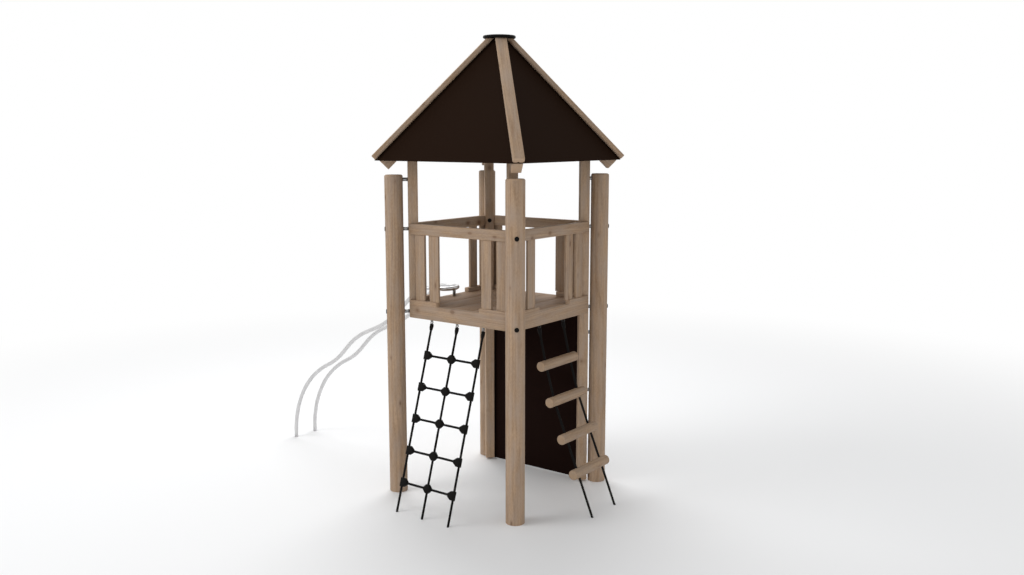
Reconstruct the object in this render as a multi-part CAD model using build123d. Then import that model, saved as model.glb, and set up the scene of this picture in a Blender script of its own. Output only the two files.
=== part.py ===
"""Wooden play tower: a raised deck under a steep pyramid roof, with a climbing net,
a rope ladder with timber rungs, a dark wall panel and a wavy two-tube slide.

Millimetres, +Z up. The deck is square. Its four sides are named after what they carry:
ladder (-Y), net (-X), panel (+X) and slide (+Y). Its corners are front (-X, -Y),
right (+X, -Y), left (-X, +Y) and back (+X, +Y).
"""
import os
from math import atan2, degrees, sqrt

from build123d import *

# Corner posts
round_post_diameter = 140
round_post_height = 2500
round_post_chamfer = 8
post_spacing = 948          # between the inner posts' axes, along a side
inner_post_width = 74
inner_post_edge_radius = 5
wide_post_gap = 38          # between round and inner post, at the front and left corners
narrow_post_gap = 18        # the same at the right and back corners

# Bolts and spacers between the two posts of a corner
spacer_diameter = 28
bolt_cap_diameter = 34
bolt_cap_height = 5
top_spacer_drop = 36        # below the round post's top
low_spacer_heights = (1236, 762)

# Rim planks, deck and rails
plank_thickness = 45
rim_bottom = 1400
rim_height = 140
entrance_width = 410
deck_top = 1505
deck_board_thickness = 27
deck_board_count = 5
deck_board_gap = 5
deck_corner_gap = 1         # between the cut deck corners and the inner posts
bearer_width = 45
bearer_height = 68
bearer_spacing = 300
rail_bottom = 2047
rail_height = 80
baluster_width = 90
baluster_thickness = 21
baluster_setback = 8        # behind the planks' outer face
baluster_opening = 412      # between the two inner balusters of a side
baluster_corner_gap = 38    # from the inner posts' axes to the outer balusters
# The four balusters sit to one side of the middle, to the right as seen from outside
baluster_shift = {"ladder": -45, "panel": 18, "slide": -45, "net": 18}

# Dark wall panel under the deck, between the right and back inner posts
wall_panel_thickness = 13
ground_gap = 15             # under these two posts
wall_panel_gap = 7          # under the panel

# Roof: hips at 45 degrees, so its four faces are equilateral triangles
eave_rise = 107             # of the eaves above the round posts' tops
roof_rise = 965             # from the eaves to the point where the four hip lines meet
hip_trim = 10               # cut off the roof's four corners
roof_panel_thickness = 12
roof_panel_joint = 2
rafter_bottom_width = 72
rafter_top_width = 84
rafter_depth = 127          # below the hip line, square to it
rafter_end_drop = 18        # how far a rafter stops short of its batten, along the hip
batten_width = 84
batten_thickness = 40
batten_groove_depth = 6     # the battens sit over the roof's hips in a shallow groove
batten_edge = 10            # bevel along the lower edges
cap_drop = 53               # of the cap's underside below the hips' meeting point
cap_diameter = 250
cap_thickness = 22
cap_edge_radius = 10

# Climbing net
rope_diameter = 16
net_rope_spacing = 250
net_shift = -11             # of the middle rope, to the left as seen from outside
net_top = 514               # of the ropes' upper ends, from the tower's axis
net_lean = 0.311            # outward run for each unit of drop
net_first_knot_drop = 226.6 # below the ropes' upper ends
net_knot_pitch = 231.2
net_knot_count = 5
connector_length = 66       # of the moulded connectors, along the sloping ropes
connector_reach = 34        # from a rope's axis to a connector's nose
edge_connector_reach = 52   # the same on the two outer ropes
connector_nose = 22         # width of a nose
connector_thickness = 34
connector_wall = 5          # around the rope, on an outer connector's flat side
connector_bevel = 7

# Fittings at the ropes' upper ends
eye_height = 34             # from the rim down to the middle of the ferrule's top
eye_ring_radius = 11
eye_wire_diameter = 9
eye_boss_diameter = 22
eye_boss_height = 7
ferrule_diameter = 27
ferrule_length = 36
ferrule_taper = 22
ferrule_lip = 1             # the taper's wall where it ends on the rope

# Rope ladder, which sags inward: each rung's distance out from the ropes' upper ends,
# and its drop below them
ladder_rope_spacing = 320
ladder_top = 493            # of the ropes' upper ends, from the tower's axis
ladder_rungs = ((63, 270), (143, 535), (250, 799), (356, 1049))
ladder_foot = 493
ladder_bend_radius = 160
rung_diameter = 75
rung_length = 466
rung_edge_radius = 9

# Slide: two parallel tubes, joined by a half circle at the top. Its wavy route is given
# as distance out from the rim's face, drop below the top and bend radius, to the ground.
tube_diameter = 34
tube_spacing = 230
slide_rise = 60             # of the tubes' centre line at the top, above the deck
slide_bend_out = 56         # where the half circle ends
slide_route = ((204, 0, 300), (584, 344, 906), (964, 505, 686), (1216, 752, 661),
               (1788, 1044, 787))
slide_leg_diameter = 25

# Worked out from the sizes above
half_spacing = post_spacing / 2
post_half_diagonal = inner_post_width / sqrt(2)
plank_face = half_spacing + post_half_diagonal
plank_back = plank_face - plank_thickness
rim_top = rim_bottom + rim_height
rail_top = rail_bottom + rail_height
round_radius = round_post_diameter / 2
slide_top = deck_top + slide_rise
slide_bend_y = plank_face + slide_bend_out
diagonal = half_spacing * sqrt(2)
eave_height = round_post_height + eave_rise
roof_hip_height = eave_height + roof_rise
hip_reach = roof_rise - hip_trim    # outward, because the hips lie at 45 degrees
cap_bottom = roof_hip_height - cap_drop
cutter = 2 * roof_hip_height    # past every piece, for the blocks that cut them
roof_side_run = sqrt(2)     # across a hip, each roof face falls one unit in this run

CORNERS = {"front": (-1, -1), "right": (1, -1), "left": (-1, 1), "back": (1, 1)}
SIDES = {"ladder": 0, "panel": 90, "slide": 180, "net": 270}
GROUND_CORNERS = ("right", "back")

parts = {}


def post_gap(corner):
    return narrow_post_gap if corner in GROUND_CORNERS else wide_post_gap


def round_axis(corner):
    """Distance of a round post's axis from the tower's, along the diagonal."""
    return diagonal + inner_post_width / 2 + post_gap(corner) + round_radius


def at_corner(shape, corner):
    """Turn a piece built along +X to the corner's diagonal."""
    sx, sy = CORNERS[corner]
    return Rot(0, 0, degrees(atan2(sy, sx))) * shape


def at_side(shape, side):
    """Turn a piece built on the ladder side (-Y) to another side."""
    return Rot(0, 0, SIDES[side]) * shape


def block(x0, x1, y0, y1, z0, z1):
    return Pos((x0 + x1) / 2, (y0 + y1) / 2, (z0 + z1) / 2) * Box(x1 - x0, y1 - y0, z1 - z0)


def prism(points, z0, z1):
    face = make_face(Polyline(*points, close=True))
    return Pos(0, 0, z0) * extrude(face, z1 - z0)


def rod(start, end, diameter):
    start, end = Vector(*start), Vector(*end)
    plane = Plane(origin=start, z_dir=end - start)
    return extrude(plane * Circle(diameter / 2), (end - start).length)


# Round posts
def round_post(corner):
    post = Pos(round_axis(corner), 0, round_post_height / 2)
    post = post * Cylinder(round_radius, round_post_height)
    rim = post.edges().group_by(Axis.Z)[-1]
    return chamfer(rim, round_post_chamfer)


# Roof pieces
hip_wedge = prism([(0, 0), (cutter, cutter), (cutter, -cutter)], 0, cap_bottom)


def under_roof(offset):
    """The space under the roof's four planes, moved in by an offset square to them."""
    top = roof_hip_height - offset * sqrt(3)
    reach = top / sqrt(2)
    section = make_face(Polyline((-reach, 0), (reach, 0), (0, top), close=True))
    wedge = extrude(Plane.XZ * section, cutter, both=True)
    return wedge & Rot(0, 0, 90) * wedge


def hip_frame():
    """A plane square to the hip, at its crossing with the tower's axis: x across, y up."""
    origin = Vector(0, 0, roof_hip_height)
    return Plane(origin=origin, x_dir=(0, 1, 0), z_dir=(1, 0, -1))


def along_hip(face, start, end):
    plane = hip_frame()
    return extrude(plane.offset(start) * face, end - start)


def rafter():
    end = hip_reach * sqrt(2) - rafter_end_drop
    outline = Polyline((-rafter_bottom_width / 2, -rafter_depth),
                       (rafter_bottom_width / 2, -rafter_depth),
                       (rafter_top_width / 2, 0), (-rafter_top_width / 2, 0), close=True)
    bar = along_hip(make_face(outline), 0, end)
    bar = bar & Rot(0, 0, 45) * under_roof(roof_panel_thickness)
    return bar & hip_wedge


def batten():
    end = hip_reach * sqrt(2)
    low, high = -batten_groove_depth, batten_thickness - batten_groove_depth
    half = batten_width / 2
    groove = batten_groove_depth * roof_side_run
    outline = Polyline((groove, low), (half - batten_edge, low), (half, low + batten_edge),
                       (half, high), (-half, high), (-half, low + batten_edge),
                       (-half + batten_edge, low), (-groove, low), (0, 0), close=True)
    bar = along_hip(make_face(outline), 0, end)
    return bar & hip_wedge


def roof_panel():
    outer, inner = under_roof(0), under_roof(roof_panel_thickness)
    shell = (outer - inner) & block(-cutter, cutter, -cutter, cutter, eave_height, cap_bottom)
    joint = roof_panel_joint / sqrt(2)
    corner = cutter + joint
    quarter = prism([(0, -joint), (-cutter, -corner), (cutter, -corner)], 0, cutter)
    square = block(-hip_reach, hip_reach, -hip_reach, hip_reach, 0, cutter)
    return shell & quarter & Rot(0, 0, 45) * square


# Every corner: posts, spacers, bolt caps and roof timbers
for corner in CORNERS:
    axis = round_axis(corner)
    post = round_post(corner)
    parts[f"round_post_{corner}"] = at_corner(post, corner)

    foot = ground_gap if corner in GROUND_CORNERS else rim_bottom
    square = Pos(diagonal, 0) * RectangleRounded(inner_post_width, inner_post_width,
                                                 inner_post_edge_radius)
    inner = Pos(0, 0, foot) * extrude(square, roof_hip_height - foot)
    timber = rafter()
    roof_space = along_hip(Pos(0, -rafter_depth - cutter / 2) * Rectangle(cutter, cutter),
                           -cutter, cutter)
    parts[f"inner_post_{corner}"] = at_corner(inner & roof_space, corner)
    parts[f"rafter_{corner}"] = at_corner(timber, corner)
    parts[f"batten_{corner}"] = at_corner(batten(), corner)

    heights = [round_post_height - top_spacer_drop, (rail_bottom + rail_top) / 2,
               rim_bottom + plank_thickness]
    if corner in GROUND_CORNERS:
        heights += low_spacer_heights
    near = diagonal + inner_post_width / 2
    spacers = [rod((near, 0, h), (axis, 0, h), spacer_diameter) - post for h in heights]
    parts[f"spacers_{corner}"] = at_corner(Compound(spacers), corner)

    caps = []
    for h in heights[1:3]:
        outside = rod((axis, 0, h), (axis + round_radius + bolt_cap_height, 0, h), bolt_cap_diameter)
        caps.append(outside - post)
        face = diagonal - inner_post_width / 2
        caps.append(rod((face - bolt_cap_height, 0, h), (face, 0, h), bolt_cap_diameter))
    parts[f"bolt_caps_{corner}"] = at_corner(Compound(caps), corner)


# Every side: rim plank, rail and balusters
def plank(z0, z1):
    outer_end = plank_face - post_half_diagonal
    inner_end = plank_back - post_half_diagonal
    outline = [(-outer_end, -plank_face), (outer_end, -plank_face),
               (inner_end, -plank_back), (-inner_end, -plank_back)]
    return prism(outline, z0, z1)


half_entrance = entrance_width / 2
rim = plank(rim_bottom, rim_top)
rim -= block(-half_entrance, half_entrance, -cutter, 0, deck_top, cutter)
rail = plank(rail_bottom, rail_top)
baluster_face = plank_face - baluster_setback
first = (baluster_opening + baluster_width) / 2
second = half_spacing - baluster_corner_gap - baluster_width / 2


def balusters(shift):
    """Four boards between the rim and the rail, the outer ones trimmed to the inner posts."""
    boards = [block(x + shift - baluster_width / 2, x + shift + baluster_width / 2, -baluster_face,
                    -baluster_face + baluster_thickness, rim_top, rail_bottom)
              for x in (-second, -first, first, second)]
    between_posts = plank(rim_top, rail_bottom)
    return Compound([board & between_posts for board in boards])


for side in SIDES:
    parts[f"rim_{side}"] = at_side(rim, side)
    parts[f"rail_{side}"] = at_side(rail, side)
    parts[f"balusters_{side}"] = at_side(balusters(baluster_shift[side]), side)
    parts[f"roof_panel_{side}"] = at_side(roof_panel(), side)

# Deck
pitch = (2 * plank_back + deck_board_gap) / deck_board_count
corner_cut = post_spacing - post_half_diagonal - deck_corner_gap
deck_outline = prism([(corner_cut, 0), (0, corner_cut), (-corner_cut, 0), (0, -corner_cut)],
                     0, cutter)
deck_bottom = deck_top - deck_board_thickness
boards = []
for i in range(deck_board_count):
    y0 = -plank_back + i * pitch
    board = block(-plank_back, plank_back, y0, y0 + pitch - deck_board_gap, deck_bottom, deck_top)
    boards.append(board & deck_outline)
parts["deck_boards"] = Compound(boards)
parts["deck_bearers"] = Compound([
    block(x - bearer_width / 2, x + bearer_width / 2, -plank_back, plank_back,
          deck_bottom - bearer_height, deck_bottom)
    for x in (-bearer_spacing, 0, bearer_spacing)])

# Wall panel
panel_centre = plank_face - plank_thickness / 2
panel_outer = panel_centre + wall_panel_thickness / 2
panel_inner = panel_centre - wall_panel_thickness / 2
panel_outline = [(-panel_outer + post_half_diagonal, -panel_outer),
                 (panel_outer - post_half_diagonal, -panel_outer),
                 (panel_inner - post_half_diagonal, -panel_inner),
                 (-panel_inner + post_half_diagonal, -panel_inner)]
parts["wall_panel"] = at_side(prism(panel_outline, wall_panel_gap, rim_bottom), "panel")

# Roof cap
cap = Pos(0, 0, cap_bottom + cap_thickness / 2) * Cylinder(cap_diameter / 2, cap_thickness)
cap = fillet(cap.edges().filter_by(GeomType.CIRCLE), cap_edge_radius)
parts["roof_cap"] = cap

# Ropes, their fittings and the net's connectors. Each is drawn on the ladder side,
# where a point is (x, distance out from the tower's axis, height).
eye_bottom = rim_bottom - eye_height


def sloping_rope(x, route, bend_radius=None):
    """A rope through (distance out, height) points, from its ferrule down to the ground."""
    points = [(x, -out, h) for out, h in route]
    if bend_radius:
        path = FilletPolyline(*points, radius=bend_radius)
    else:
        path = Line(*points)
    start = Plane(origin=path @ 0, z_dir=path % 0)
    bar = sweep(start * Circle(rope_diameter / 2), path=path)
    thick = start * Circle(ferrule_diameter / 2)
    ferrule = extrude(thick, ferrule_length)
    neck = loft([start.offset(ferrule_length) * Circle(ferrule_diameter / 2),
                 start.offset(ferrule_length + ferrule_taper) * Circle(rope_diameter / 2 + ferrule_lip)])
    above_ground = block(-cutter, cutter, -cutter, 0, 0, rim_bottom)
    return (bar + ferrule + neck) & above_ground


def steel_eye(x, out):
    """An eye nut under the rim; the ferrule hangs from its ring."""
    centre = rim_bottom - eye_boss_height - eye_ring_radius
    ring = Pos(x, -out, centre) * Rot(0, 90, 0) * Torus(eye_ring_radius, eye_wire_diameter / 2)
    boss = rod((x, -out, rim_bottom - eye_boss_height), (x, -out, rim_bottom), eye_boss_diameter)
    return ring + boss


def connector(reach, flat_sided=False):
    """A moulded clamp, flat in the net's plane, with a nose towards each rope it holds."""
    half, nose = connector_length / 2, connector_nose / 2
    shoulder = connector_nose if flat_sided else nose
    outline = [(shoulder, half), (reach, nose), (reach, -nose), (shoulder, -half)]
    if flat_sided:
        flat = rope_diameter / 2 + connector_wall
        outline += [(-flat, -half), (-flat, half)]
    else:
        outline += [(-x, -y) for x, y in outline]
    body = extrude(make_face(Polyline(*outline, close=True)), connector_thickness / 2, both=True)
    return chamfer(body.edges().filter_by(Axis.Z, reverse=True), connector_bevel)


def net_out(height):
    return net_top + (eye_bottom - height) * net_lean


net_places = (net_shift - net_rope_spacing, net_shift, net_shift + net_rope_spacing)
net_route = [(net_out(h), h) for h in (eye_bottom, -rope_diameter)]
edge_connector = connector(edge_connector_reach, flat_sided=True)
whole_net = sloping_rope(net_places[0], net_route)
for x in net_places[1:]:
    whole_net += sloping_rope(x, net_route)
for i in range(net_knot_count):
    h = eye_bottom - net_first_knot_drop - i * net_knot_pitch
    y = -net_out(h)
    whole_net += rod((net_places[0], y, h), (net_places[-1], y, h), rope_diameter)
    clamps = (edge_connector, connector(connector_reach), Rot(0, 0, 180) * edge_connector)
    for x, clamp in zip(net_places, clamps):
        plane = Plane(origin=(x, y, h), x_dir=(1, 0, 0), z_dir=(0, -1, net_lean))
        whole_net += plane * clamp
parts["climbing_net"] = at_side(whole_net, "net")
net_eyes = Compound([steel_eye(x, net_top) for x in net_places])
parts["net_eyes"] = at_side(net_eyes - whole_net, "net")

ladder_places = (-ladder_rope_spacing / 2, ladder_rope_spacing / 2)
ladder_route = [(ladder_top, eye_bottom)]
ladder_route += [(ladder_top + out, eye_bottom - drop) for out, drop in ladder_rungs]
ladder_route.append((ladder_top + ladder_foot, -rope_diameter))
ladder_ropes = [sloping_rope(x, ladder_route, ladder_bend_radius) for x in ladder_places]
parts["ladder_ropes"] = Compound(ladder_ropes)
parts["ladder_eyes"] = Compound([steel_eye(x, ladder_top) - rope
                                 for x, rope in zip(ladder_places, ladder_ropes)])
for i, (out, h) in enumerate(ladder_route[1:-1]):
    y = -out
    rung = rod((-rung_length / 2, y, h), (rung_length / 2, y, h), rung_diameter)
    rung = fillet(rung.edges().filter_by(GeomType.CIRCLE), rung_edge_radius)
    for rope in ladder_ropes:
        rung -= rope
    parts[f"ladder_rung_{i + 1}"] = rung

# Slide
slide_corners = [(plank_face + out, slide_top - drop) for out, drop, radius in slide_route]
slide_foot_y = slide_corners[-1][0]
slide_points = [(slide_bend_y, slide_top)] + slide_corners + [(slide_foot_y, 0)]
radii = [radius for out, drop, radius in slide_route]
leg_route = Plane.YZ * FilletPolyline(*slide_points, radius=radii)
half = tube_spacing / 2
bend = ThreePointArc((-half, slide_bend_y, slide_top), (0, slide_bend_y - half, slide_top),
                     (half, slide_bend_y, slide_top))
route = Wire((Pos(-half, 0, 0) * leg_route).edges() + [bend] + (Pos(half, 0, 0) * leg_route).edges())
tube_start = Plane(origin=(-half, slide_foot_y, 0), z_dir=(0, 0, 1))
parts["slide_tubes"] = sweep(tube_start * Circle(tube_diameter / 2), path=route)
leg_y = slide_bend_y - half
leg = rod((0, leg_y, deck_top), (0, leg_y, slide_top), slide_leg_diameter)
parts["slide_leg"] = leg - parts["slide_tubes"]

# The origin goes to the middle of the whole object's box, on the ground
box = Compound(list(parts.values())).bounding_box()
middle = Pos(-(box.min.X + box.max.X) / 2, -(box.min.Y + box.max.Y) / 2, 0)
print("tower axis at", middle.position, "box", box.min, box.max)

os.makedirs("parts", exist_ok=True)
for name, shape in parts.items():
    export_step(middle * shape, f"parts/{name}.step")
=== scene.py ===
"""Wooden play tower: deck on four round posts, pyramid roof, climbing net, rope ladder
with timber rungs, a dark wall panel and a wavy two-tube slide."""
from math import atan2, cos, pi, radians, sin, sqrt
from random import Random

import bmesh
import bpy
from mathutils import Matrix, Vector


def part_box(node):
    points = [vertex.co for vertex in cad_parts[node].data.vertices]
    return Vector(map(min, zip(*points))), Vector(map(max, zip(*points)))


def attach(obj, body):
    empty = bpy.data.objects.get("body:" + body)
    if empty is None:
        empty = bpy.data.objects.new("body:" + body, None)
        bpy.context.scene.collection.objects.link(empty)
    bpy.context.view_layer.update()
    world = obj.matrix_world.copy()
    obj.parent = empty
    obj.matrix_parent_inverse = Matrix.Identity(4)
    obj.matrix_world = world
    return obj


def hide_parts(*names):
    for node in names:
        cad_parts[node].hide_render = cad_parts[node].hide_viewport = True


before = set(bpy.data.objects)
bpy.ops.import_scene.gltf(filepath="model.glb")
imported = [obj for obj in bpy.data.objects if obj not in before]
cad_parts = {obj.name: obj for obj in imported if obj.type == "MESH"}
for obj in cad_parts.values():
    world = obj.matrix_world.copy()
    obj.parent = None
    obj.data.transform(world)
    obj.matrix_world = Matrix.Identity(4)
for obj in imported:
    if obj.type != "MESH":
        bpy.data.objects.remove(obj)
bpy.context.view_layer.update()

scene = bpy.context.scene
scene.view_settings.view_transform = "Standard"


# Camera: a plain 35 mm lens on a 36 mm sensor, 2.8 m above the ground and 7.7 m from the
# tower's axis, off its front corner, tipped a little down.
def middle_of(node):
    """The middle of a CAD node's box."""
    return sum(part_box(node), Vector()) / 2


axis = middle_of("roof_cap")
axis.z = 0
camera_offset, camera_tilt, camera_heading = (-6.1520, -4.6890, 2.808), 0.1533, (-0.8028, 0.5963)
lens = bpy.data.cameras.new("camera")
lens.lens, lens.sensor_width, lens.sensor_fit = 35, 36, "HORIZONTAL"
camera = bpy.data.objects.new("camera", lens)
camera.location = axis + Vector(camera_offset)
camera.rotation_euler = (pi / 2 - camera_tilt, 0, atan2(*camera_heading))
scene.collection.objects.link(camera)
scene.camera = camera


# Floor and backdrop: one white studio sweep. The floor keeps the tower's soft shadows and
# runs out to plain white; it isn't part of the tower.
def part_of(tree, kind, sockets=(), **settings):
    """Adds a node. Its sockets are given by name or number, as values or as links."""
    made = tree.nodes.new(kind)
    for name, value in settings.items():
        setattr(made, name, value)
    for key, value in dict(sockets).items():
        if isinstance(value, bpy.types.NodeSocket):
            tree.links.new(value, made.inputs[key])
        else:
            made.inputs[key].default_value = value
    return made


def sum_of(tree, kind, *values):
    """A Math node: its values in order, numbers or links."""
    return part_of(tree, "ShaderNodeMath", enumerate(values), operation=kind).outputs[0]


def spread(tree, value, low=0.0, high=1.0, start=0.0, end=1.0, way="LINEAR"):
    """A value taken from its range, low to high, to another, and kept inside it."""
    return part_of(tree, "ShaderNodeMapRange", {"Value": value, "From Min": low, "From Max": high,
                                                "To Min": start, "To Max": end},
                   interpolation_type=way).outputs[0]


def blank(name):
    """A new material with its nodes cleared."""
    material = bpy.data.materials.new(name)
    material.use_nodes = True
    material.node_tree.nodes.clear()
    return material


def mesh_from(bm, name):
    """The finished mesh of a bmesh."""
    mesh = bpy.data.meshes.new(name)
    bm.to_mesh(mesh)
    bm.free()
    return mesh


floor_radius, floor_paint, fade_start, fade_end = 30, (0.838, 0.843, 0.850, 1), 3.0, 9.0
studio_floor = blank("studio_floor")
tree = studio_floor.node_tree
place = part_of(tree, "ShaderNodeTexCoord").outputs["Object"]
far = part_of(tree, "ShaderNodeVectorMath", {0: place, 1: axis},
              operation="DISTANCE").outputs["Value"]
fade = spread(tree, far, fade_start, fade_end, way="SMOOTHSTEP")
paint = part_of(tree, "ShaderNodeBsdfDiffuse", {"Color": floor_paint}).outputs[0]
white = part_of(tree, "ShaderNodeEmission", {"Color": (1, 1, 1, 1), "Strength": 1.0}).outputs[0]
seen = part_of(tree, "ShaderNodeLightPath").outputs["Is Camera Ray"]
mix = part_of(tree, "ShaderNodeMixShader",
              {0: sum_of(tree, "MULTIPLY", fade, seen), 1: paint, 2: white}).outputs[0]
part_of(tree, "ShaderNodeOutputMaterial", {"Surface": mix})
bm = bmesh.new()
bmesh.ops.create_circle(bm, cap_ends=True, segments=96, radius=floor_radius)
floor_mesh = mesh_from(bm, "floor")
floor_mesh.materials.append(studio_floor)
floor = bpy.data.objects.new("floor", floor_mesh)
scene.collection.objects.link(floor)

# Studio light: an even room that looks plain white, a wide lamp high on the left, one above
# and behind, and a weak one low in front.
room_light, lamp_aim = 0.595, Vector((0, 0, 1.4))
world = bpy.data.worlds.new("studio")
world.use_nodes = True
scene.world = world
tree = world.node_tree
tree.nodes.clear()
rays = part_of(tree, "ShaderNodeLightPath").outputs
plain = sum_of(tree, "MAXIMUM", rays["Is Camera Ray"], rays["Is Glossy Ray"])
plain = sum_of(tree, "MAXIMUM", plain, rays["Is Transmission Ray"])
room = part_of(tree, "ShaderNodeBackground",
               {"Color": (1, 1, 1, 1), "Strength": room_light}).outputs[0]
sky = part_of(tree, "ShaderNodeBackground", {"Color": (1, 1, 1, 1), "Strength": 1.0}).outputs[0]
sky = part_of(tree, "ShaderNodeMixShader", {0: plain, 1: room, 2: sky}).outputs[0]
part_of(tree, "ShaderNodeOutputWorld", {"Surface": sky})

for name, where, width, power in (("left_lamp", (-7.8, 5.9, 9.1), 7.0, 470),
                                  ("top_lamp", (3.0, 3.0, 8.0), 5.5, 400),
                                  ("front_lamp", (-6.0, -5.8, 0.5), 3.0, 88)):
    lamp = bpy.data.lights.new(name, "AREA")
    lamp.shape, lamp.size, lamp.energy = "DISK", width, power
    holder = bpy.data.objects.new(name, lamp)
    holder.location = axis + Vector(where)
    aim = axis + lamp_aim - holder.location
    holder.rotation_euler = aim.to_track_quat("-Z", "Y").to_euler()
    scene.collection.objects.link(holder)


# Round posts: four peeled and turned softwood poles, 140 mm thick and 2.5 m tall, their
# tops chamfered. They stand a little way out from the tower's corners.
def skinned(levels, name):
    """A closed solid over rings of points that follow one another upwards."""
    bm = bmesh.new()
    rings = [[bm.verts.new(point) for point in level] for level in levels]
    for low, high in zip(rings, rings[1:]):
        for i in range(len(low)):
            j = (i + 1) % len(low)
            bm.faces.new((low[i], low[j], high[j], high[i]))
    bm.faces.new(reversed(rings[0]))
    bm.faces.new(rings[-1])
    return mesh_from(bm, name)


def turned(profile, sides=64):
    """A closed solid turned about Z, from (radius, height) points that run upwards."""
    turns = [2 * pi * i / sides for i in range(sides)]
    return skinned([[(r * cos(t), r * sin(t), h) for t in turns] for r, h in profile], "turned")


def soften(mesh, angle=40):
    """Smooth shading that keeps the edges sharper than the angle."""
    mesh.shade_smooth()
    mesh.set_sharp_from_angle(angle=radians(angle))


def finished(mesh, name, material, nodes):
    """A mesh that is in place becomes a piece of the tower, and stands for its CAD nodes."""
    mesh.name = name
    mesh.materials.clear()
    mesh.materials.append(material)
    piece = bpy.data.objects.new(name, mesh)
    scene.collection.objects.link(piece)
    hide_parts(*nodes)
    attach(piece, "root")


def boards_of(mesh):
    """The point numbers of each board in a mesh of separate boards."""
    owner = list(range(len(mesh.vertices)))

    def first(i):
        while owner[i] != i:
            owner[i] = owner[owner[i]]
            i = owner[i]
        return i

    for edge in mesh.edges:
        a, b = (first(i) for i in edge.vertices)
        owner[max(a, b)] = min(a, b)
    boards = {}
    for i in range(len(owner)):
        boards.setdefault(first(i), []).append(i)
    return boards.values()


def span(points):
    """The lowest and the highest corner of the box around these points."""
    return Vector(map(min, *points)), Vector(map(max, *points))


def lay_grain(mesh, way, seed, heart, sawn=True):
    """Gives each board its own piece of the log: its grain runs along its length, at a
    random place in the tree, with the heart that far from the board's middle, behind its
    wide face. Also marks the cut ends, and measures each point from the board's middle."""
    chance = Random(seed)
    skew, heart_range, tree_range = 0.3, (0.7, 1.2), (2, 40)
    wide_face, end_slope, no_edge = 0.1, 0.6, 9
    turn = Vector(way).rotation_difference(Vector((0, 0, 1))).to_matrix()
    grain, place, half = (mesh.attributes.new(name, "FLOAT_VECTOR", "POINT").data
                          for name in ("grain", "place", "half"))
    for board in boards_of(mesh):
        fits = []
        for angle in (0, pi / 4):
            square = Matrix.Rotation(angle, 3, "Z") @ turn
            points = [square @ mesh.vertices[i].co for i in board]
            low, high = span(points)
            fits.append((points, (low + high) / 2, (high - low) / 2))
        points, centre, reach = min(fits, key=lambda fit: fit[2].x * fit[2].y)
        spin = chance.uniform(0, 2 * pi)
        if abs(reach.x - reach.y) > wide_face * reach.x:
            spin = chance.uniform(-skew, skew) + chance.choice((0, pi))
            if reach.y < reach.x:
                spin += pi / 2
        spin = Matrix.Rotation(spin, 3, "Z")
        shift = Vector((heart * chance.uniform(*heart_range), 0, chance.uniform(*tree_range)))
        for i, point in zip(board, points):
            grain[i].vector = spin @ (point - centre) + shift
            place[i].vector = point - centre
            half[i].vector = reach if sawn else (no_edge, no_edge, reach.z)
    ends = mesh.attributes.new("end_cut", "FLOAT", "CORNER").data
    for face in mesh.polygons:
        if abs(face.normal.dot(Vector(way).normalized())) > end_slope:
            for i in face.loop_indices:
                ends[i].value = 1.0


def stored(tree, name, output="Vector"):
    """What a mesh holds under this name: a vector, or with Fac a number."""
    return part_of(tree, "ShaderNodeAttribute", attribute_name=name).outputs[output]


def vector_of(tree, kind, *values):
    """A Vector Math node that gives a vector: its values in order, vectors or links."""
    return part_of(tree, "ShaderNodeVectorMath", enumerate(values), operation=kind).outputs[0]


def noise(tree, coords, scale, detail):
    """Plain noise, about 0.5 on average."""
    return part_of(tree, "ShaderNodeTexNoise",
                   {"Vector": coords, "Scale": scale, "Detail": detail}).outputs[0]


def blended(tree, share, *pair):
    """A colour between two, each a link or red, green and blue."""
    first, second = (colour if isinstance(colour, bpy.types.NodeSocket) else (*colour, 1)
                     for colour in pair)
    return part_of(tree, "ShaderNodeMix", {0: share, 6: first, 7: second}, data_type="RGBA",
                   clamp_factor=True).outputs[2]


def surface(tree, colour, rough, height, strength, depth, specular=0.5, metal=0.0):
    """Ends a material's tree in one surface, with a bump that strong and deep."""
    bump = part_of(tree, "ShaderNodeBump",
                   {"Strength": strength, "Distance": depth, "Height": height}).outputs[0]
    shader = part_of(tree, "ShaderNodeBsdfPrincipled",
                     {"Base Color": colour, "Roughness": rough, "Normal": bump,
                      "Specular IOR Level": specular, "Metallic": metal}).outputs[0]
    part_of(tree, "ShaderNodeOutputMaterial", {"Surface": shader})


def knots_in(tree, grain, around, fleck):
    """How much of a knot there is. Branches grow straight out of the heart, so a knot
    depends on the direction from it and on the height."""
    bough_width, bough_height, bough_scale, knotless, largest = 0.07, 0.45, 13, 0.15, 0.23
    outward = vector_of(tree, "MULTIPLY", vector_of(tree, "NORMALIZE", around),
                        (bough_width, bough_width, 0))
    bough = vector_of(tree, "MULTIPLY_ADD", grain, (0, 0, bough_height), outward)
    cells = part_of(tree, "ShaderNodeTexVoronoi",
                    {"Vector": bough, "Scale": bough_scale, "Randomness": 1.0})
    kind = part_of(tree, "ShaderNodeSeparateXYZ", {0: cells.outputs["Color"]}).outputs
    size = spread(tree, kind[0], knotless, 1.0, 0.0, largest)
    near = sum_of(tree, "MULTIPLY_ADD", fleck, 0.05, cells.outputs["Distance"])
    near = sum_of(tree, "SUBTRACT", near, size)
    halo = spread(tree, near, -0.09, 0.10, 1.0, 0.0, "SMOOTHSTEP")
    core = spread(tree, near, -0.11, -0.02, 1.0, 0.0, "SMOOTHSTEP")
    branch = sum_of(tree, "MULTIPLY", halo, sum_of(tree, "MULTIPLY_ADD", kind[1], 0.3, 0.15))
    return sum_of(tree, "MULTIPLY_ADD", core, 0.36, branch)


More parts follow.
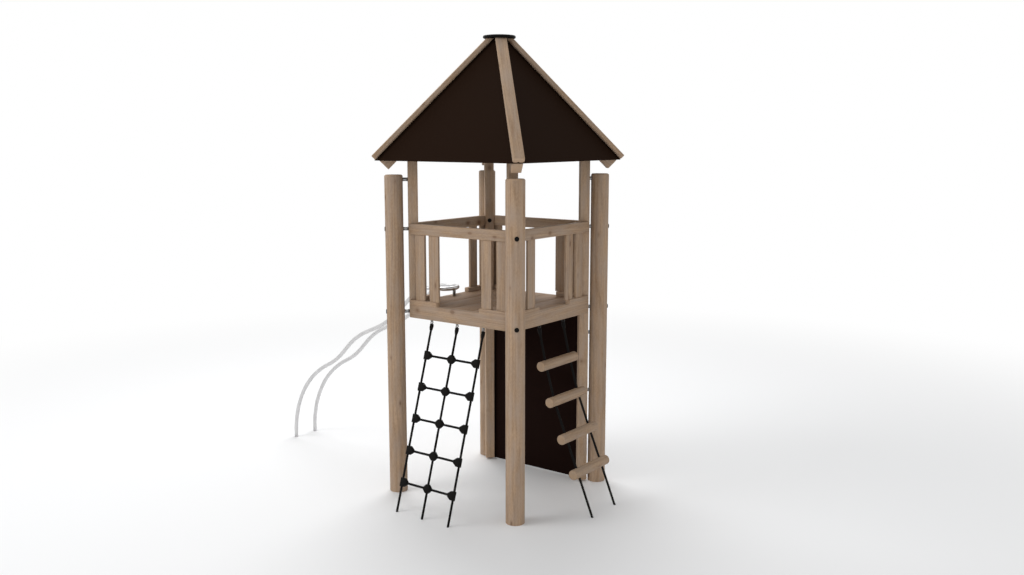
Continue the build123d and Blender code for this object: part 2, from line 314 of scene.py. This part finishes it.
def wear_and_end_highlight(tree, cut, blotch):
    """How far the wood is made pale: rubbed pale along a board's edges, where two of its faces are
    near, and a painted highlight all over its cut ends."""
    edge_width = 0.007
    depth = vector_of(tree, "SUBTRACT", stored(tree, "half"),
                      vector_of(tree, "ABSOLUTE", stored(tree, "place")))
    x, y, z = (spread(tree, inwards, 0.0, edge_width, 1.0, 0.0)
               for inwards in part_of(tree, "ShaderNodeSeparateXYZ", {0: depth}).outputs)
    paler = sum_of(tree, "MULTIPLY", sum_of(tree, "MAXIMUM", x, y), z)
    paler = sum_of(tree, "MULTIPLY_ADD", x, y, paler)
    paler = sum_of(tree, "MULTIPLY", paler, sum_of(tree, "MULTIPLY_ADD", blotch, 0.5, 0.15))
    # The cut ends are made pale all over: a painted highlight.
    return sum_of(tree, "MULTIPLY_ADD", cut, 0.3, paler)


def timber(name, pale, deep, knot, streaks=1.0):
    """Softwood that has greyed a little: faint rings and long fibres, small brown knots."""
    material = blank(name)
    tree = material.node_tree
    grain, cut = stored(tree, "grain"), stored(tree, "end_cut", "Fac")
    ring_pitch, ring_drift, greying, wear_and_highlight_lift = 0.0055, 0.035, (0.80, 0.91, 1.12), 1.25

    def stretched(length, scale, detail, low=0.0, high=1.0):
        """Noise drawn out along the grain, spread between two values to 0 and 1."""
        coords = part_of(tree, "ShaderNodeMapping",
                         {"Vector": grain, "Scale": (1, 1, length)}).outputs[0]
        return spread(tree, noise(tree, coords, scale, detail), low, high)

    drift = stretched(0.07, 9, 3)
    streak = stretched(0.05, 55, 3, 0.42, 0.72)
    fibre = stretched(0.02, 520, 2)
    fleck = stretched(0.3, 170, 3, 0.3, 0.7)
    blotch = stretched(0.5, 8, 3, 0.25, 0.75)
    weather = stretched(0.2, 26, 4, 0.34, 0.66)
    around = vector_of(tree, "MULTIPLY", grain, (1, 1, 0))
    reach = part_of(tree, "ShaderNodeVectorMath", {0: around}, operation="LENGTH").outputs["Value"]
    reach = sum_of(tree, "MULTIPLY_ADD", drift, ring_drift, reach)
    rings = sum_of(tree, "SINE", sum_of(tree, "MULTIPLY", reach, 2 * pi / ring_pitch))
    rings = spread(tree, rings, -0.4, 1.0)
    branch = knots_in(tree, grain, around, fleck)
    paler = wear_and_end_highlight(tree, cut, blotch)

    # From pale to deep wood, then greyed by weather, browned by knots, rubbed pale along the edges
    # and painted pale on the cut ends as a highlight
    tone = sum_of(tree, "MULTIPLY", rings, sum_of(tree, "MULTIPLY_ADD", cut, 0.4, 0.42))
    # The cut ends are pushed towards the pale wood here: a painted highlight.
    for layer, share in ((streak, 0.50 * streaks), (fibre, 0.25), (fleck, 0.60), (blotch, 0.30),
                         (cut, -0.45)):
        tone = sum_of(tree, "MULTIPLY_ADD", layer, share, tone)
    tone = sum_of(tree, "SUBTRACT", tone, 0.38)
    grey = [channel * share for channel, share in zip(pale, greying)]
    light = [min(1, channel * wear_and_highlight_lift) for channel in pale]
    colour = blended(tree, tone, pale, deep)
    colour = blended(tree, sum_of(tree, "MULTIPLY", weather, 0.6), colour, grey)
    colour = blended(tree, branch, colour, knot)
    colour = blended(tree, paler, colour, light)
    height = sum_of(tree, "MULTIPLY_ADD", rings, -0.35, fibre)
    height = sum_of(tree, "MULTIPLY_ADD", branch, 0.6, height)
    rough = spread(tree, fibre, start=0.52, end=0.74)
    surface(tree, colour, rough, height, 0.35, 0.0008, specular=0.12)
    return material


post_wood = timber("post_wood", (0.459, 0.318, 0.209), (0.299, 0.196, 0.120), (0.130, 0.065, 0.033))
post_radius, post_height, post_chamfer, post_ease, post_heart = 0.07, 2.5, 0.008, 0.002, 0.012
corners = {"front": (-1, -1), "right": (1, -1), "left": (-1, 1), "back": (1, 1)}
for corner in corners:
    pole = turned([(post_radius - post_ease, 0), (post_radius, post_ease),
                   (post_radius, post_height - post_chamfer - post_ease),
                   (post_radius - post_ease / 2, post_height - post_chamfer),
                   (post_radius - post_chamfer, post_height - post_ease / 2),
                   (post_radius - post_chamfer - post_ease, post_height)], 96)
    middle = middle_of(f"round_post_{corner}")
    pole.transform(Matrix.Translation((middle.x, middle.y, 0)))
    soften(pole, 30)
    lay_grain(pole, (0, 0, 1), f"round post {corner}", post_heart, sawn=False)
    finished(pole, f"pole_{corner}", post_wood, [f"round_post_{corner}"])


# Inner posts: four planed square posts, set with a corner outwards so that the planks die
# into them. Their edges are eased with a plane.
def eased(mesh, edge, steps, angle=35):
    """A mesh with its edges rounded off."""
    rough = bpy.data.objects.new("rough", mesh)
    scene.collection.objects.link(rough)
    bevel = rough.modifiers.new("edges", "BEVEL")
    bevel.width, bevel.segments, bevel.limit_method = edge, steps, "ANGLE"
    bevel.angle_limit = radians(angle)
    bevel.use_clamp_overlap = True
    done = rough.evaluated_get(bpy.context.evaluated_depsgraph_get())
    smooth = bpy.data.meshes.new_from_object(done)
    bpy.data.objects.remove(rough)
    soften(smooth)
    return smooth


def welded(node):
    """A copy of a CAD node's mesh, with its triangles merged into whole flat faces."""
    weld_gap, flat_angle = 2e-5, radians(0.5)
    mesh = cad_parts[node].data.copy()
    bm = bmesh.new()
    bm.from_mesh(mesh)
    bmesh.ops.remove_doubles(bm, verts=bm.verts, dist=weld_gap)
    bmesh.ops.dissolve_limit(bm, angle_limit=flat_angle, verts=bm.verts, edges=bm.edges)
    bm.to_mesh(mesh)
    bm.free()
    return mesh


def planed(node, edge, steps=2):
    """A copy of a CAD timber with its edges eased by a plane."""
    return eased(welded(node), edge, steps)


knot_brown = (0.140, 0.070, 0.036)
square_wood = timber("square_wood", (0.484, 0.337, 0.221), (0.318, 0.209, 0.130), knot_brown)
for corner in corners:
    mesh = planed(f"inner_post_{corner}", 0.0015, 1)
    lay_grain(mesh, (0, 0, 1), f"inner post {corner}", 0.09)
    finished(mesh, f"square_post_{corner}", square_wood, [f"inner_post_{corner}"])

# Rim planks, rails and balusters: planed boards, mitred to the inner posts. The balusters
# stand behind the planks' faces and are let into them.
frame_wood = timber("frame_wood", (0.440, 0.306, 0.201), (0.289, 0.190, 0.118), knot_brown)
sides = {"ladder": (1, 0, 0), "panel": (0, 1, 0), "slide": (1, 0, 0), "net": (0, 1, 0)}
for side, along in sides.items():
    for node, edge, way, heart in ((f"rim_{side}", 0.004, along, 0.11),
                                   (f"rail_{side}", 0.004, along, 0.11),
                                   (f"balusters_{side}", 0.003, (0, 0, 1), 0.08)):
        mesh = planed(node, edge)
        lay_grain(mesh, way, node, heart)
        finished(mesh, f"planed_{node}", frame_wood, [node])

# Deck: five wide boards on three bearers, coloured darker and more streaked than the rest.
deck_wood = timber("deck_wood", (0.345, 0.219, 0.130), (0.223, 0.139, 0.083),
                   (0.130, 0.068, 0.034), streaks=1.4)
for node, edge, way, heart in (("deck_boards", 0.003, (1, 0, 0), 0.07),
                               ("deck_bearers", 0.002, (0, 1, 0), 0.05)):
    mesh = planed(node, edge)
    lay_grain(mesh, way, node, heart)
    finished(mesh, f"planed_{node}", deck_wood, [node])

# Roof timbers: a tapered rafter under each hip and a batten over it, cut plumb at the
# foot, all running down at 45 degrees.
for corner, (x, y) in corners.items():
    for node, edge, steps in ((f"rafter_{corner}", 0.003, 2), (f"batten_{corner}", 0.009, 4)):
        mesh = planed(node, edge, steps)
        lay_grain(mesh, (x, y, -sqrt(2)), f"roof {node}", 0.08)
        finished(mesh, f"planed_{node}", frame_wood, [node])


# Roof panels and wall panel: dark brown high-pressure laminate, satin, with a faint
# pebbled skin that catches the light.
def laminate(name, colour, lift, gloss):
    """Pressed board, mottled between two near colours."""
    material = blank(name)
    tree = material.node_tree
    place = part_of(tree, "ShaderNodeTexCoord").outputs["Object"]
    cloud, speck = noise(tree, place, 2.2, 4), noise(tree, place, 900, 1)
    pebble = part_of(tree, "ShaderNodeTexVoronoi",
                     {"Vector": place, "Scale": 420}).outputs["Distance"]
    shade = sum_of(tree, "MULTIPLY_ADD", speck, 0.5, sum_of(tree, "MULTIPLY", cloud, 0.6))
    rough = spread(tree, cloud, start=gloss, end=gloss + 0.14)
    surface(tree, blended(tree, shade, colour, lift), rough, pebble, 0.25, 0.0004, specular=0.012)
    return material


roof_laminate = laminate("roof_laminate", (0.0122, 0.0060, 0.0034), (0.0180, 0.0092, 0.0056), 0.62)
wall_laminate = laminate("wall_laminate", (0.0095, 0.0045, 0.0034), (0.0145, 0.0072, 0.0058), 0.6)
panel_edge = 0.0012
for side in sides:
    mesh = planed(f"roof_panel_{side}", panel_edge, 1)
    finished(mesh, f"laminate_{side}", roof_laminate, [f"roof_panel_{side}"])
mesh = planed("wall_panel", panel_edge, 1)
finished(mesh, "laminate_wall", wall_laminate, ["wall_panel"])


# Roof cap: a flat disc over the panels' tips, with a rounded rim and a dished top. It is
# black moulded plastic with a fine matt skin, as are the bolt caps and the net's clamps.
def plastic(name, colour, rough):
    """Moulded plastic, a little greyer and duller in places."""
    material = blank(name)
    tree = material.node_tree
    place = part_of(tree, "ShaderNodeTexCoord").outputs["Object"]
    skin = part_of(tree, "ShaderNodeTexVoronoi",
                   {"Vector": place, "Scale": 900}).outputs["Distance"]
    cloud = noise(tree, place, 30, 3)
    colour = blended(tree, cloud, colour, [channel * 1.7 for channel in colour])
    rough = spread(tree, cloud, start=rough, end=rough + 0.15)
    surface(tree, colour, rough, skin, 0.15, 0.0003, specular=0.05)
    return material


black_plastic = plastic("black_plastic", (0.0055, 0.0050, 0.0046), 0.42)
cap_radius, cap_edge, cap_rise, cap_dish = 0.125, 0.010, 0.011, 0.003
low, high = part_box("roof_cap")
profile = [(cap_radius - cap_edge + cap_edge * cos(a), (low.z + high.z) / 2 + cap_rise * sin(a))
           for a in map(radians, range(-90, 91, 15))]
profile += [(cap_radius - 0.018, high.z - 0.0012), (cap_radius - 0.022, high.z - cap_dish),
            (0.02, high.z - cap_dish), (0.017, high.z - 0.0010), (0.004, high.z - 0.0006)]
mesh = turned(profile, 96)
mesh.transform(Matrix.Translation(axis))
soften(mesh, 50)
finished(mesh, "cap_disc", black_plastic, ["roof_cap"])


# Bolt caps and spacers: at each corner, through bolts join the round and the inner post
# over steel tubes, and snap-on caps with a raised ring cover their heads.
def new_tree(name, **inputs):
    """A Geometry Nodes tree with these named inputs; returns it with its two ends."""
    tree = bpy.data.node_groups.new(name, "GeometryNodeTree")
    face = tree.interface
    face.new_socket("Geometry", in_out="INPUT", socket_type="NodeSocketGeometry")
    face.new_socket("Geometry", in_out="OUTPUT", socket_type="NodeSocketGeometry")
    for label, kind in inputs.items():
        face.new_socket(label, in_out="INPUT", socket_type=f"NodeSocket{kind}")
    return tree, tree.nodes.new("NodeGroupInput").outputs, tree.nodes.new("NodeGroupOutput").inputs


def delivered(tree, geometry, finish, result):
    """Ends a tree in real geometry of one material."""
    real = part_of(tree, "GeometryNodeRealizeInstances", {0: geometry}).outputs[0]
    dressed = part_of(tree, "GeometryNodeSetMaterial",
                      {"Geometry": real, "Material": finish}).outputs[0]
    tree.links.new(dressed, result[0])


def grown(points, edges, tree, facing=(), **values):
    """Runs a tree on plain points or lines and gives back the plain mesh."""
    mesh = bpy.data.meshes.new("start")
    mesh.from_pydata(points, edges, [])
    if facing:
        faced = mesh.attributes.new("facing", "FLOAT_VECTOR", "POINT")
        for i, way in enumerate(facing):
            faced.data[i].vector = way
    start = bpy.data.objects.new("start", mesh)
    modifier = start.modifiers.new("tree", "NODES")
    modifier.node_group = tree
    for item in tree.interface.items_tree:
        if item.in_out == "INPUT" and item.name in values:
            modifier[item.identifier] = values[item.name]
    scene.collection.objects.link(start)
    view = bpy.context.evaluated_depsgraph_get()
    made = bpy.data.meshes.new_from_object(start.evaluated_get(view), preserve_all_data_layers=True,
                                           depsgraph=view)
    start.modifiers.clear()
    bpy.data.objects.remove(start)
    return made


set_out, given, result = new_tree("set_out", fitting="Object", finish="Material")
fitting = part_of(set_out, "GeometryNodeObjectInfo",
                  {"Object": given["fitting"]}).outputs["Geometry"]
facing = part_of(set_out, "GeometryNodeInputNamedAttribute", {"Name": "facing"},
                 data_type="FLOAT_VECTOR").outputs[0]
turn = part_of(set_out, "FunctionNodeAlignRotationToVector", {"Vector": facing},
               axis="Z").outputs[0]
copies = part_of(set_out, "GeometryNodeInstanceOnPoints",
                 {"Points": given["Geometry"], "Instance": fitting, "Rotation": turn}).outputs[0]
delivered(set_out, copies, given["finish"], result)


def repeated(mesh, points, facing, material):
    """Copies of a fitting at these points, each with its own Z along its facing."""
    pattern = bpy.data.objects.new("fitting", mesh)
    scene.collection.objects.link(pattern)
    made = grown(points, [], set_out, facing, fitting=pattern, finish=material)
    bpy.data.objects.remove(pattern)
    return made


def brushed(name, colour, low, high):
    """Galvanised or stainless steel: fine scuffs and a faint cloud of zinc."""
    material = blank(name)
    tree = material.node_tree
    place = part_of(tree, "ShaderNodeTexCoord").outputs["Object"]
    spangle = part_of(tree, "ShaderNodeTexVoronoi", {"Vector": place, "Scale": 60},
                      feature="SMOOTH_F1").outputs["Color"]
    cloud = noise(tree, place, 24, 4)
    colour = blended(tree, cloud, colour, [channel * 0.78 for channel in colour])
    grade = part_of(tree, "ShaderNodeSeparateXYZ", {0: spangle}).outputs[0]
    rough = spread(tree, grade, start=low, end=high)
    surface(tree, colour, rough, cloud, 0.04, 0.0003, metal=1.0)
    return material


bolt_radius, bolt_rise, bolt_seat, square_width = 0.017, 0.005, 0.0006, 0.074
bolt_cap = turned([(0.0155, 0), (bolt_radius, 0.0012), (bolt_radius, bolt_rise - 0.0018),
                   (bolt_radius - 0.0015, bolt_rise), (0.0125, bolt_rise),
                   (0.0118, bolt_rise - 0.0016), (0.0102, bolt_rise - 0.0018),
                   (0.0092, bolt_rise - 0.0006), (0.003, bolt_rise - 0.0002)], 40)
soften(bolt_cap, 45)
dull_steel = brushed("dull_steel", (0.30, 0.30, 0.30), 0.34, 0.5)
for corner, (x, y) in corners.items():
    outward = Vector((x, y, 0)).normalized()
    post_away, square_away = ((middle_of(f"{kind}_post_{corner}") - axis).dot(outward)
                              for kind in ("round", "inner"))
    places, ways = [], []
    caps = welded(f"bolt_caps_{corner}")
    for cap in boards_of(caps):
        middle = sum(span([caps.vertices[i].co for i in cap]), Vector()) / 2
        outside = (middle - axis).dot(outward) > post_away
        away = post_away + post_radius - bolt_seat if outside else square_away - square_width / 2
        places.append(axis + outward * away + Vector((0, 0, middle.z)))
        ways.append(outward if outside else -outward)
    mesh = repeated(bolt_cap, places, ways, black_plastic)
    finished(mesh, f"caps_{corner}", black_plastic, [f"bolt_caps_{corner}"])
    mesh = planed(f"spacers_{corner}", 0.0008, 1)
    finished(mesh, f"tubes_{corner}", dull_steel, [f"spacers_{corner}"])

# Climbing net: three ropes of six twisted strands from eyes under the rim to the ground and
# five across, held by moulded clamps, with black sleeves pressed on to their upper ends. Rope
# and sleeves are drawn 2 or 3 mm thicker than in the CAD, as thin black looks thinner.
rope_thickness, rope_twist, rope_step, rope_set_in, rope_foot = 0.018, 0.105, 0.006, 0.0012, 0.0004
strands, strand_steps, strand_rise = 6, 5, 0.022
laid_rope, given, result = new_tree("laid_rope", thickness="Float", twist="Float", bend="Float",
                                    finish="Material")
line = part_of(laid_rope, "GeometryNodeMeshToCurve", {0: given["Geometry"]}).outputs[0]
line = part_of(laid_rope, "GeometryNodeFilletCurve",
               {"Curve": line, "Radius": given["bend"], "Limit Radius": True, "Count": 8},
               mode="POLY").outputs[0]
line = part_of(laid_rope, "GeometryNodeResampleCurve", {"Curve": line, "Length": rope_step},
               mode="LENGTH").outputs[0]
run = part_of(laid_rope, "GeometryNodeSplineParameter").outputs["Length"]
tilt = sum_of(laid_rope, "DIVIDE", sum_of(laid_rope, "MULTIPLY", run, 2 * pi), given["twist"])
line = part_of(laid_rope, "GeometryNodeSetCurveTilt", {"Curve": line, "Tilt": tilt}).outputs[0]
line = part_of(laid_rope, "GeometryNodeStoreNamedAttribute",
               {"Geometry": line, "Name": "along", "Value": run}, data_type="FLOAT").outputs[0]
ring = part_of(laid_rope, "GeometryNodeCurvePrimitiveCircle",
               {"Resolution": strands * strand_steps, "Radius": 1.0}).outputs[0]
number = part_of(laid_rope, "GeometryNodeInputIndex").outputs[0]
crown = sum_of(laid_rope, "COSINE", sum_of(laid_rope, "MULTIPLY", number, 2 * pi / strand_steps))
swell = sum_of(laid_rope, "MULTIPLY_ADD", crown, strand_rise, 0.5 - strand_rise)
swell = sum_of(laid_rope, "MULTIPLY", given["thickness"], swell)
place = part_of(laid_rope, "GeometryNodeInputPosition").outputs[0]
place = part_of(laid_rope, "ShaderNodeVectorMath", {0: place, "Scale": swell},
                operation="SCALE").outputs[0]
ring = part_of(laid_rope, "GeometryNodeSetPosition",
               {"Geometry": ring, "Position": place}).outputs[0]
ring = part_of(laid_rope, "GeometryNodeStoreNamedAttribute",
               {"Geometry": ring, "Name": "crown", "Value": crown}, data_type="FLOAT").outputs[0]
body = part_of(laid_rope, "GeometryNodeCurveToMesh",
               {"Curve": line, "Profile Curve": ring, "Fill Caps": True}).outputs[0]
delivered(laid_rope, body, given["finish"], result)


def yarn(name, dark, paler):
    """Twisted strands of dull black yarn: fine fibres across each strand, the strands'
    crowns rubbed a little grey."""
    material = blank(name)
    tree = material.node_tree
    run, crown = stored(tree, "along", "Fac"), stored(tree, "crown", "Fac")
    place = part_of(tree, "ShaderNodeTexCoord").outputs["Object"]
    fuzz, dust = noise(tree, place, 1300, 2), noise(tree, place, 8, 3)
    slant = sum_of(tree, "MULTIPLY_ADD", crown, 0.3, sum_of(tree, "MULTIPLY", run, 420))
    fibre = sum_of(tree, "SINE", sum_of(tree, "MULTIPLY", slant, 2 * pi))
    shade = sum_of(tree, "MULTIPLY_ADD", crown, 0.2, sum_of(tree, "MULTIPLY", dust, 0.9))
    height = sum_of(tree, "MULTIPLY_ADD", fibre, 0.35, fuzz)
    surface(tree, blended(tree, shade, dark, paler), 0.85, height, 0.35, 0.0005, specular=0.08)
    return material


rope_yarn = yarn("rope_yarn", (0.0048, 0.0046, 0.0044), (0.0115, 0.0108, 0.0104))


def rope(points, bend=0.0):
    """One rope through these points, cut off level with the ground."""
    mesh = grown(points, [(i, i + 1) for i in range(len(points) - 1)], laid_rope,
                 thickness=rope_thickness, twist=rope_twist, bend=bend, finish=rope_yarn)
    bm = bmesh.new()
    bm.from_mesh(mesh)
    bmesh.ops.bisect_plane(bm, geom=bm.verts[:] + bm.edges[:] + bm.faces[:],
                           plane_co=(0, 0, rope_foot), plane_no=(0, 0, -1), clear_outer=True)
    ends = [edge for edge in bm.edges if edge.is_boundary]
    if ends:
        bmesh.ops.edgeloop_fill(bm, edges=ends)
    bm.to_mesh(mesh)
    bm.free()
    soften(mesh, 60)
    return mesh


def inset(outline, edge):
    """A convex outline, drawn anticlockwise, moved in by an edge's width."""
    moved = []
    for before, here, after in zip(outline[-1:] + outline[:-1], outline, outline[1:] + outline[:1]):
        a, b = (here - before).normalized(), (after - here).normalized()
        moved.append(here + Vector((-a.y - b.y, a.x + b.x)) * edge / (1 + a.dot(b)))
    return moved


def clamp(outline, thickness=0.034, bevel=0.006, seam=0.0012):
    """A moulded clamp of two halves, with bevelled faces and a fine groove where they meet."""
    face = thickness / 2
    levels = [(-face, bevel), (-face + bevel, 0), (-seam, 0), (0, seam), (seam, 0),
              (face - bevel, 0), (face, bevel)]
    outline = [Vector(point) for point in outline]
    mesh = skinned([[(*point, z) for point in inset(outline, edge)] for z, edge in levels], "clamp")
    return eased(mesh, 0.0018, 2, 20)


def placed(mesh, where, z_way, y_way=(0, 0, 1)):
    """A copy of a fitting: its Z along one direction, its Y as near as can be to another."""
    z = Vector(z_way).normalized()
    x = Vector(y_way).cross(z).normalized()
    turn = Matrix((x, z.cross(x), z)).transposed().to_4x4()
    copy = mesh.copy()
    copy.transform(Matrix.Translation(where) @ turn)
    return copy


def joined(meshes):
    """One mesh of several, with their attributes kept."""
    pieces = [bpy.data.objects.new("part", mesh) for mesh in meshes]
    for piece in pieces:
        scene.collection.objects.link(piece)
    with bpy.context.temp_override(active_object=pieces[0], selected_editable_objects=pieces):
        bpy.ops.object.join()
    mesh = pieces[0].data
    bpy.data.objects.remove(pieces[0])
    return mesh


def torus(radius, wire, turns=32, sides=14):
    """A ring of round wire about the X axis."""
    bm = bmesh.new()
    rings = []
    for a in (2 * pi * i / turns for i in range(turns)):
        rings.append([bm.verts.new((wire * sin(b), (radius + wire * cos(b)) * cos(a),
                                    (radius + wire * cos(b)) * sin(a)))
                      for b in (2 * pi * j / sides for j in range(sides))])
    for here, after in zip(rings, rings[1:] + rings[:1]):
        for j in range(sides):
            k = (j + 1) % sides
            bm.faces.new((here[j], here[k], after[k], after[j]))
    return mesh_from(bm, "torus")


def at(side, x, away, height):
    """A point given as on the ladder side: along the rim, away from the axis, and height."""
    return axis + side @ Vector((x, -away, height))


ring_radius, ring_wire, ring_height, rope_top = 0.011, 0.0044, 1.382, 1.366
eye = joined([torus(ring_radius, ring_wire),
              turned([(0.0080, 0.0105), (0.0098, 0.0118), (0.0110, 0.0135), (0.0110, 0.0172),
                      (0.0104, 0.0178)], 32)])
sleeve = turned([(0.0105, -0.0046), (0.0136, -0.0040), (0.0150, -0.0022), (0.0150, 0.0080),
                 (0.0142, 0.0092), (0.0142, 0.0110), (0.0150, 0.0122), (0.0150, 0.0230),
                 (0.0139, 0.0275), (0.0108, 0.0430), (0.0094, 0.0470), (0.0070, 0.0471)], 32)


def hang(side, places, away, tangent, name, finish):
    """Eyes under the rim, and the sleeves at the tops of the ropes that hang from them."""
    along, outward = side @ Vector((1, 0, 0)), side @ Vector((0, 1, 0))
    eyes = joined([placed(eye, at(side, x, away, ring_height), (0, 0, 1), outward) for x in places])
    sleeves = joined([placed(sleeve, at(side, x, away, rope_top), tangent, along) for x in places])
    soften(eyes, 45)
    soften(sleeves, 50)
    finished(eyes, f"forged_{name}_eyes", finish, [f"{name}_eyes"])
    return sleeves


net_side, net_places = Matrix.Rotation(radians(270), 3, "Z"), (-0.261, -0.011, 0.239)
net_away, net_lean, cross_ropes, knot_drop, knot_pitch = 0.514, 0.311, 5, 0.2266, 0.2312
rope_tuck, rope_over, cross_tuck = 0.01, 0.016, 0.02


def net_point(x, drop, away=0.0):
    """A point on the net: along it, down from its top, and off its plane."""
    return at(net_side, x, net_away + drop * net_lean + away, rope_top - drop)


down = (net_point(0, 1) - net_point(0, 0)).normalized()
outward = (net_side @ Vector((1, 0, 0))).cross(-down)
ropes = [rope([net_point(x, drop, -rope_set_in) for drop in (rope_tuck, rope_top + rope_over)])
         for x in net_places]
clamp_neck, clamp_tall, clamp_wide = 0.011, 0.033, 0.034
middle_clamp = clamp([(clamp_neck, clamp_tall), (-clamp_neck, clamp_tall),
                      (-clamp_wide, clamp_neck), (-clamp_wide, -clamp_neck),
                      (-clamp_neck, -clamp_tall), (clamp_neck, -clamp_tall),
                      (clamp_wide, -clamp_neck), (clamp_wide, clamp_neck)])
clamp_back, clamp_shoulder, clamp_nose = 0.013, 0.022, 0.052
edge_clamp = clamp([(clamp_shoulder, clamp_tall), (-clamp_back, clamp_tall),
                    (-clamp_back, -clamp_tall), (clamp_shoulder, -clamp_tall),
                    (clamp_nose, -clamp_neck), (clamp_nose, clamp_neck)])
left, centre, right = net_places
clamps = []
for i in range(cross_ropes):
    drop = knot_drop + i * knot_pitch
    ropes.append(rope([net_point(left + cross_tuck, drop), net_point(right - cross_tuck, drop)]))
    for x, shape, upward in ((left, edge_clamp, -down), (centre, middle_clamp, -down),
                             (right, edge_clamp, down)):
        clamps.append(placed(shape, net_point(x, drop), outward, upward))
sleeves = hang(net_side, net_places, net_away, down, "net", dull_steel)
finished(joined(ropes), "laid_net", rope_yarn, ["climbing_net"])
finished(joined(clamps + [sleeves]), "net_clamps", black_plastic, ["climbing_net"])

# Rope ladder: two of the same ropes on darker eyes, bent where they pass through the rungs.
# The rungs are turned from round timber, rounded at both ends and bored for the ropes.
ladder_side, ladder_places = Matrix.Identity(3), (-0.16, 0.16)
ladder_away, ladder_bend = 0.493, 0.16
ladder_line = ((0.0, 0.0), (0.063, 0.270), (0.143, 0.535),
               (0.250, 0.799), (0.356, 1.049), (0.493, 1.382))
ropes = [rope([at(ladder_side, x, ladder_away + away - rope_set_in, rope_top - drop)
               for away, drop in ladder_line], ladder_bend) for x in ladder_places]
away, drop = ladder_line[1]
dark_steel = brushed("dark_steel", (0.05, 0.05, 0.05), 0.4, 0.6)
sleeves = hang(ladder_side, ladder_places, ladder_away, (0, -away, -drop), "ladder", dark_steel)
finished(joined(ropes), "laid_ladder", rope_yarn, ["ladder_ropes"])
finished(sleeves, "ladder_sleeves", black_plastic, ["ladder_ropes"])

rung_wood = timber("rung_wood", (0.414, 0.289, 0.188), (0.269, 0.178, 0.110), knot_brown)
rungs = 4
for number in range(1, rungs + 1):
    node = f"ladder_rung_{number}"
    mesh = planed(node, 0.0005, 1)
    lay_grain(mesh, (1, 0, 0), node, 0.01, sawn=False)
    finished(mesh, f"turned_rung_{number}", rung_wood, [node])

# Slide: two bent stainless tubes joined by a half circle at the top, with one short steel
# foot on the deck.
bright_steel = brushed("bright_steel", (0.69, 0.685, 0.685), 0.30, 0.36)
for node, name, finish in (("slide_tubes", "bent_tubes", bright_steel),
                           ("slide_leg", "tube_foot", dull_steel)):
    finished(planed(node, 0.0003, 1), name, finish, [node])
